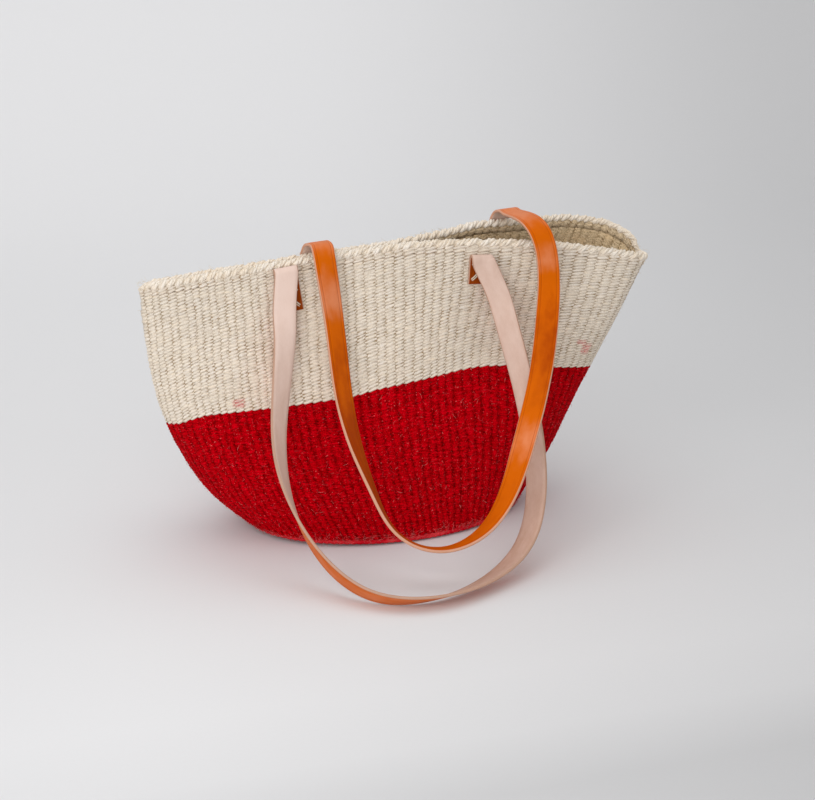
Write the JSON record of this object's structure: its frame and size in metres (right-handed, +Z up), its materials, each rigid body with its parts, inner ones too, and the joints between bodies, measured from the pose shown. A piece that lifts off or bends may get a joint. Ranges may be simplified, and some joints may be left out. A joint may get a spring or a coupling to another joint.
{
  "type": "kiondo basket",
  "caption": "Twined sisal tote basket with a red lower wall, a natural upper wall, a braided rim and two long leather shoulder straps.",
  "frame": {"origin": "centre of the underside of the base, on the floor", "axes": "+Z up, +X along the mouth towards its open end, -Y towards the front wall and the side the straps hang on"},
  "size_m": [0.5155, 0.3193, 0.3035],
  "materials": {
    "base_red": "coarse twined sisal, dyed red",
    "ridge_red": "raised twined sisal, dyed red",
    "red_sisal": "twined sisal, dyed red",
    "cream_sisal": "twined sisal, undyed",
    "rim_cream": "braided sisal, undyed",
    "tan_leather": "smooth tan on one side, raw pale on the other",
    "tab_leather": "smooth tan on one side, raw pale on the other",
    "waxed_thread": "waxed linen thread"
  },
  "bodies": {
    "basket": {"woven_base": "base_red", "base_ridge": "ridge_red", "red_wall": "red_sisal", "natural_wall": "cream_sisal", "rim_braid": "rim_cream", "front_handle_left_end": "tab_leather", "front_handle_right_end": "tab_leather", "front_left_stitch": "waxed_thread", "front_right_stitch": "waxed_thread", "rear_handle_left_end": "tab_leather", "rear_handle_right_end": "tab_leather", "rear_left_stitch": "waxed_thread", "rear_right_stitch": "waxed_thread"},
    "front_strap": {"front_handle": "tan_leather"},
    "rear_strap": {"rear_handle": "tan_leather"}
  },
  "joints": [
    {"name": "rear_handle_swing", "type": "hinge", "parent": "basket", "child": "rear_strap", "pos_m": [0.02539, -0.02434, 0.30119], "axis": [-0.9808, -0.1928, -0.0305], "range_deg": [0, 150]},
    {"name": "front_handle_swing", "type": "hinge", "parent": "basket", "child": "front_strap", "pos_m": [-0.01398, -0.05115, 0.27696], "axis": [-0.9997, 0.0108, 0.0223], "range_deg": [0, 138]}
  ],
  "couplings": [
    {"joint": "front_handle_swing", "follows": "rear_handle_swing", "ratio": 0.92}
  ]
}
